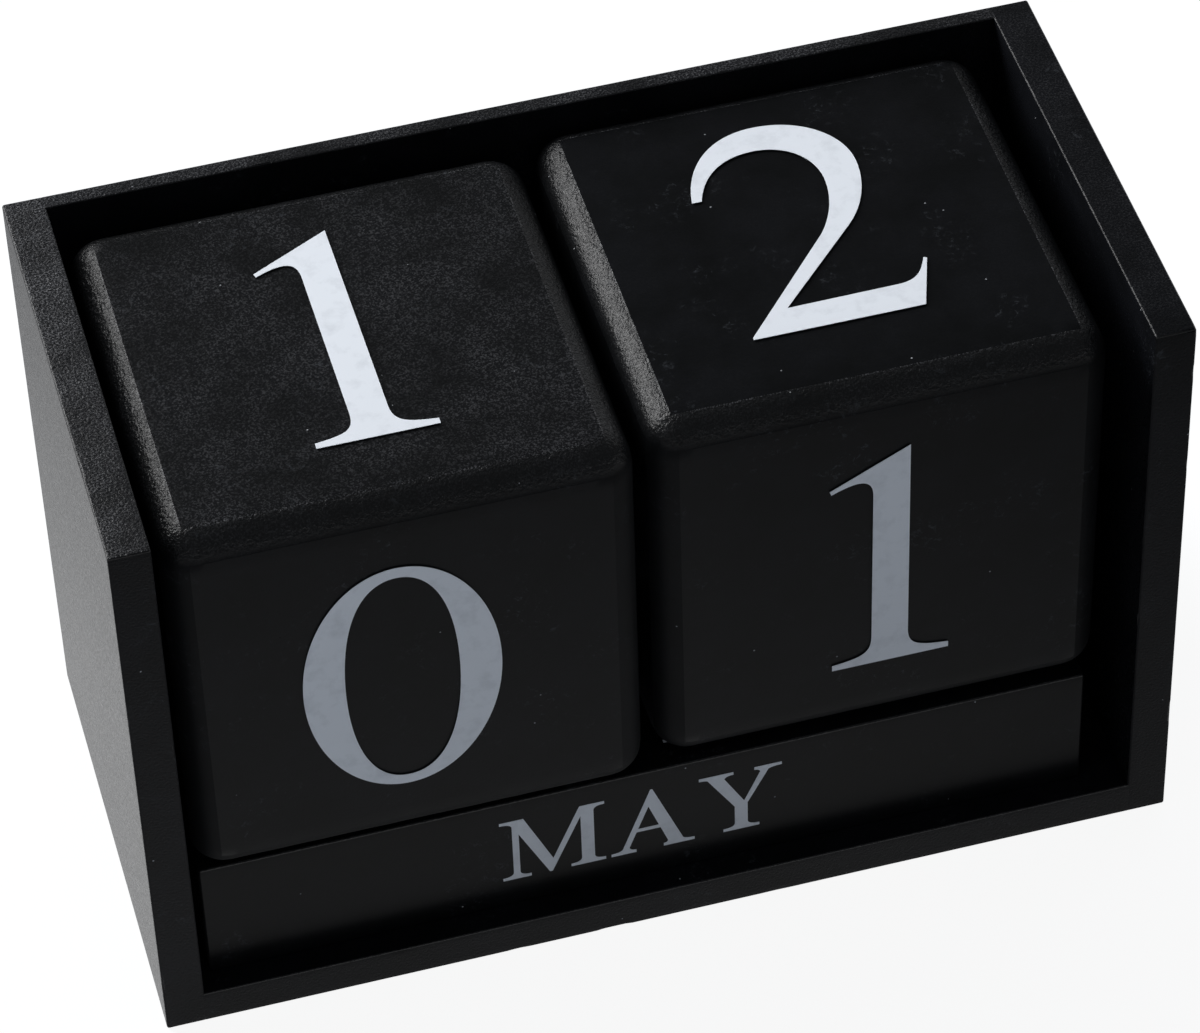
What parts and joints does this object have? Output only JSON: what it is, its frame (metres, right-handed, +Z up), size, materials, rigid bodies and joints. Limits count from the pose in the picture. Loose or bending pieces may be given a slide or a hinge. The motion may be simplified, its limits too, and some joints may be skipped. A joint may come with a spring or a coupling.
{
  "type": "perpetual desk calendar",
  "caption": "Open wooden tray holding number cubes for the date above a row of month bars, painted black with white serif prints.",
  "frame": {"origin": "centre of the tray's underside, on the surface it stands on", "axes": "+X to the reader's right along the tray, +Z up, -Y out of the open front towards the reader"},
  "size_m": [0.115, 0.0552, 0.0735],
  "materials": {
    "tray_paint": "black satin paint on fibreboard",
    "cube_paint": "black satin paint on fibreboard, sanded faces",
    "bar_paint": "black satin paint on fibreboard",
    "white_ink": "matt white printing ink"
  },
  "bodies": {
    "holder": {"left_side_panel": "tray_paint", "right_side_panel": "tray_paint", "back_panel": "tray_paint", "floor_panel": "tray_paint"},
    "left_date_cube": {"left_cube": "cube_paint", "left_cube_digit_0": "white_ink", "left_cube_digit_1": "white_ink", "left_cube_digit_2": "white_ink", "left_cube_digit_3": "white_ink", "left_cube_digit_4": "white_ink", "left_cube_digit_5": "white_ink"},
    "right_date_cube": {"right_cube": "cube_paint", "right_cube_digit_0": "white_ink", "right_cube_digit_1": "white_ink", "right_cube_digit_2": "white_ink", "right_cube_digit_6": "white_ink", "right_cube_digit_7": "white_ink", "right_cube_digit_8": "white_ink"},
    "rear_bar": {"rear_month_bar": "bar_paint", "month_sep": "white_ink", "month_oct": "white_ink", "month_nov": "white_ink", "month_dec": "white_ink"},
    "middle_bar": {"middle_month_bar": "bar_paint", "month_jan": "white_ink", "month_feb": "white_ink", "month_mar": "white_ink", "month_apr": "white_ink"},
    "front_bar": {"front_month_bar": "bar_paint", "month_may": "white_ink", "month_jun": "white_ink", "month_jul": "white_ink", "month_aug": "white_ink"}
  },
  "joints": [
    {"name": "left_cube_lift", "type": "slide", "parent": "holder", "child": "left_date_cube", "axis": [0, 0, 1], "range_m": [0, 0.055]},
    {"name": "right_cube_lift", "type": "slide", "parent": "holder", "child": "right_date_cube", "axis": [0, 0, 1], "range_m": [0, 0.055]},
    {"name": "rear_bar_slide", "type": "slide", "parent": "holder", "child": "rear_bar", "axis": [0, -1, 0], "range_m": [0, 0.056]},
    {"name": "middle_bar_slide", "type": "slide", "parent": "rear_bar", "child": "middle_bar", "axis": [0, -1, 0], "range_m": [0, 0.039]},
    {"name": "front_bar_slide", "type": "slide", "parent": "middle_bar", "child": "front_bar", "axis": [0, -1, 0], "range_m": [0, 0.022]}
  ]
}
